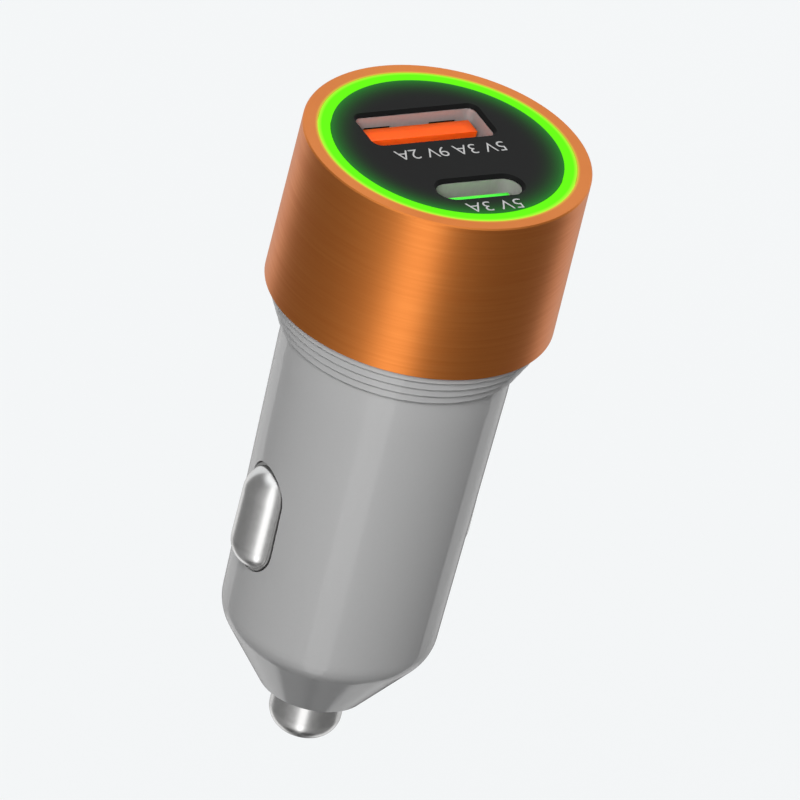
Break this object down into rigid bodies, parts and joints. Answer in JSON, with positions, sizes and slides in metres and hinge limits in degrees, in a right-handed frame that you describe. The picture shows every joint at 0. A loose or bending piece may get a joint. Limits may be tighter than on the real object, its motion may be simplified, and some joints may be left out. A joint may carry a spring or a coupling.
{
  "type": "car usb charger plug",
  "caption": "Car charger plug with a turned orange head, a glowing green ring, a wide and an oval USB outlet, a tapered grey barrel, sprung side contacts and a sprung tip.",
  "frame": {"origin": "on the long axis, at the underside of the neck where the rim of the car socket stops the plug", "axes": "+Z along the long axis, out of the outlet face; +X along the two outlets; the wide outlet lies on the +Y side"},
  "size_m": [0.0266, 0.0266, 0.0627],
  "materials": {
    "anodised_aluminium": "turned and anodised orange, fine brush lines round the axis",
    "barrel_plastic": "moulded plastic with a satin silver grey coat",
    "ring_acrylic": "clear acrylic lit green from below",
    "face_plastic": "moulded black, fine satin",
    "circuit_board": "glass epoxy board with green solder mask",
    "contact_gold": "bronze strip, gold flashed",
    "led_case": "white moulded lamp case",
    "sheet_steel": "stamped and bent steel, nickel plated",
    "orange_plastic": "moulded orange insulator",
    "green_plastic": "moulded green insulator",
    "chip_epoxy": "moulded black epoxy with tinned leads",
    "capacitor_sleeve": "aluminium can in a shrunk dark sleeve",
    "ferrite": "pressed and fired ferrite",
    "copper_wire": "enamelled copper wire",
    "white_plastic": "moulded white insulator",
    "nickel_plate": "turned or stamped brass, bright nickel plate"
  },
  "bodies": {
    "plug": {"head_shell": "anodised_aluminium", "body_shell": "barrel_plastic", "light_ring": "ring_acrylic", "face_plate": "face_plastic", "led_board": "circuit_board", "led_pins": "contact_gold", "led_1": "led_case", "led_2": "led_case", "led_3": "led_case", "led_4": "led_case", "led_5": "led_case", "led_6": "led_case", "usb_a_shell": "sheet_steel", "usb_a_tongue": "orange_plastic", "usb_a_contacts": "contact_gold", "usb_c_shell": "sheet_steel", "usb_c_tongue": "green_plastic", "usb_c_contacts": "contact_gold", "port_board": "circuit_board", "main_board": "circuit_board", "charge_controller": "chip_epoxy", "buck_controller": "chip_epoxy", "input_capacitor": "capacitor_sleeve", "output_capacitor": "capacitor_sleeve", "inductor_core": "ferrite", "inductor_winding": "copper_wire", "contact_holder": "white_plastic", "right_leaf_spring": "sheet_steel", "left_leaf_spring": "sheet_steel", "positive_terminal": "contact_gold", "tip_spring": "sheet_steel"},
    "right_pad": {"right_contact": "nickel_plate"},
    "left_pad": {"left_contact": "nickel_plate"},
    "tip": {"tip_contact": "nickel_plate"}
  },
  "joints": [
    {"name": "right_contact_slide", "type": "slide", "parent": "plug", "child": "right_pad", "axis": [-1, 0, 0], "range_m": [0, 0.00135], "stiffness_N_per_m": 500, "deforming": ["right_leaf_spring"]},
    {"name": "left_contact_slide", "type": "slide", "parent": "plug", "child": "left_pad", "axis": [1, 0, 0], "range_m": [0, 0.00135], "stiffness_N_per_m": 500, "deforming": ["left_leaf_spring"]},
    {"name": "tip_slide", "type": "slide", "parent": "plug", "child": "tip", "axis": [0, 0, 1], "range_m": [0, 0.0022], "stiffness_N_per_m": 600, "deforming": ["tip_spring"]}
  ]
}
